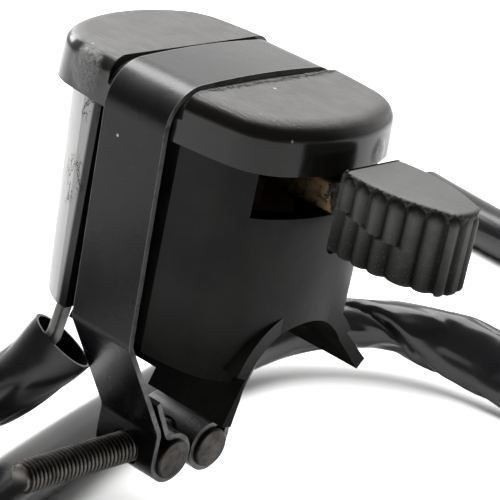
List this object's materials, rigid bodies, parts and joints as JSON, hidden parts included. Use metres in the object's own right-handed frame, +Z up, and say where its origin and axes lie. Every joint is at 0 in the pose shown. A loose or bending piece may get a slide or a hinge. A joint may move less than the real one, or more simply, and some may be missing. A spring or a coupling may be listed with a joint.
{
  "type": "motorcycle handlebar switch",
  "caption": "Handlebar switch cluster with a side lever, held on by a strap and a cross screw, with a sleeved wiring lead.",
  "frame": {"origin": "on the handlebar's axis, under the middle of the strap", "axes": "+X along the handlebar towards the lever's knob, +Y along the cross screw towards its head, +Z up through the cap"},
  "size_m": [0.1398, 0.2723, 0.0751],
  "materials": {
    "cap_paint": "worn gloss black",
    "base_moulding": "fine matt",
    "strap_paint": "satin black",
    "steel": "dull, worn",
    "brass": "tarnished",
    "knob_moulding": "matt",
    "insulator": "matt",
    "wire_cover": "matt grey",
    "sleeve_cover": "glossy black",
    "connector_cover": "matt black"
  },
  "bodies": {
    "switch_body": {"top_cover": "cap_paint", "base_housing": "base_moulding", "clamp_strap": "strap_paint", "threaded_barrel": "steel", "plain_barrel": "steel", "pivot_pin": "steel", "retaining_washer": "steel", "contact_plate": "insulator", "fixed_contacts": "brass", "solder_lugs": "brass", "plate_screws": "steel", "detent_block": "base_moulding", "wire_lead_1": "wire_cover", "wire_lead_2": "wire_cover", "wire_lead_3": "wire_cover", "harness_sleeve": "sleeve_cover", "tail_wires": "wire_cover", "bullet_connectors": "connector_cover"},
    "lever": {"lever_arm": "brass", "lever_knob": "knob_moulding", "contact_rotor": "insulator", "moving_contact": "brass", "detent_ball": "steel", "detent_spring": "steel"},
    "cross_screw": {"clamp_screw": "steel"}
  },
  "joints": [
    {"name": "lever_swing", "type": "hinge", "parent": "switch_body", "child": "lever", "pos_m": [0.006, 0, 0.0312], "axis": [0, 0, 1], "range_deg": [-25, 25]},
    {"name": "screw_turn", "type": "hinge", "parent": "switch_body", "child": "cross_screw", "pos_m": [0, 0, -0.0188], "axis": [0, 1, 0], "continuous": true}
  ]
}
